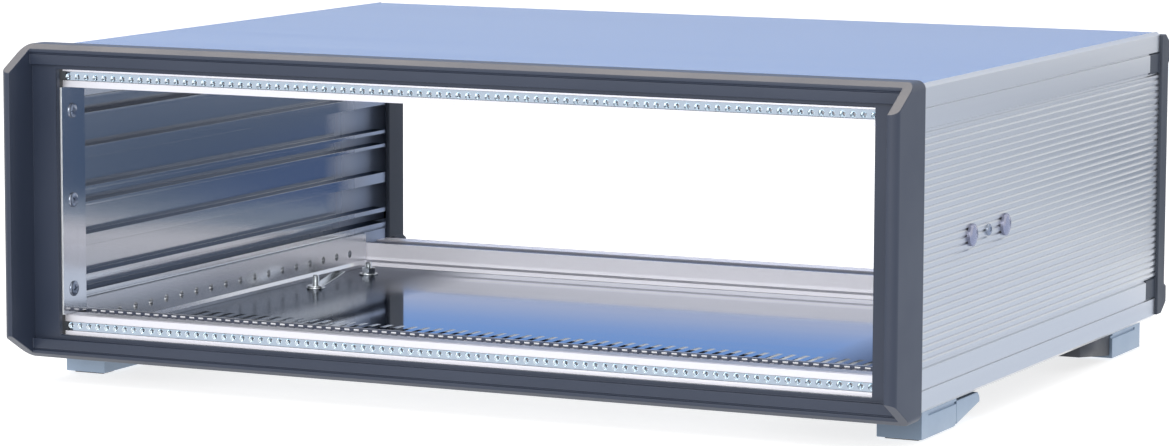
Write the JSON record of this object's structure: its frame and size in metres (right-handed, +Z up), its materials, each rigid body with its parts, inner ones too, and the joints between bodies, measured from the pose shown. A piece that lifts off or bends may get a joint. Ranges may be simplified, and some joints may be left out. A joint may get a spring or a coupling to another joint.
{
  "type": "subrack card cage",
  "caption": "Desktop case with a built-in subrack cage: dark front bezel, ribbed aluminium sides, tapped rails, open front and rear, and tilt-up front feet.",
  "frame": {"origin": "on the surface it stands on, under the middle of its overall box", "axes": "+X to the case's right as seen from the front, +Y from the front bezel to the rear, +Z up"},
  "size_m": [0.465, 0.3972, 0.166],
  "materials": {
    "bezel_paint": "satin anthracite paint, fine orange peel",
    "side_aluminium": "satin clear anodised extrusion",
    "cover_aluminium": "satin clear anodised sheet",
    "plate_aluminium": "bright rolled sheet",
    "rail_aluminium": "bright anodised extrusion",
    "insert_steel": "zinc plated",
    "strip_steel": "zinc plated sheet",
    "flange_aluminium": "brushed, upright grain",
    "block_plastic": "black moulding",
    "trim_plastic": "dark grey moulding",
    "plug_metal": "turned, satin",
    "screw_steel": "zinc plated",
    "foot_plastic": "light blue grey moulding",
    "wedge_plastic": "dark grey moulding",
    "pad_rubber": "black rubber",
    "stud_steel": "zinc plated, bright"
  },
  "bodies": {
    "case": {"front_bezel": "bezel_paint", "side_panel_left": "side_aluminium", "side_panel_right": "side_aluminium", "top_cover": "cover_aluminium", "bottom_plate": "plate_aluminium", "front_rail_top": "rail_aluminium", "front_rail_bottom": "rail_aluminium", "rear_rail_top": "rail_aluminium", "rear_rail_bottom": "rail_aluminium", "front_insert_top": "insert_steel", "front_insert_bottom": "insert_steel", "rear_insert_top": "insert_steel", "rear_insert_bottom": "insert_steel", "upper_strip_left": "strip_steel", "upper_strip_right": "strip_steel", "lower_strip_left": "strip_steel", "lower_strip_right": "strip_steel", "flange_left": "flange_aluminium", "flange_right": "flange_aluminium", "rail_end_blocks": "block_plastic", "rear_trim_left": "trim_plastic", "rear_trim_right": "trim_plastic", "side_plugs": "plug_metal", "flange_screws": "screw_steel", "side_screws": "screw_steel", "foot_screws": "screw_steel", "tilt_pin_left": "screw_steel", "tilt_pin_right": "screw_steel", "front_foot_left": "foot_plastic", "front_foot_right": "foot_plastic", "rear_foot_left": "foot_plastic", "rear_foot_right": "foot_plastic", "rear_wedge_left": "wedge_plastic", "rear_wedge_right": "wedge_plastic", "foot_pads": "pad_rubber", "earth_stud": "stud_steel", "earth_washer": "stud_steel", "earth_tab": "stud_steel", "plate_bolt": "stud_steel", "plate_washer": "stud_steel", "plate_nut": "stud_steel"},
    "tilt_left": {"tilt_foot_left": "foot_plastic"},
    "tilt_right": {"tilt_foot_right": "foot_plastic"}
  },
  "joints": [
    {"name": "tilt_left", "type": "hinge", "parent": "case", "child": "tilt_left", "pos_m": [-0.21625, -0.10785, 0.0037], "axis": [-1, 0, 0], "range_deg": [0, 90]},
    {"name": "tilt_right", "type": "hinge", "parent": "case", "child": "tilt_right", "pos_m": [0.21625, -0.10785, 0.0037], "axis": [-1, 0, 0], "range_deg": [0, 90]}
  ]
}
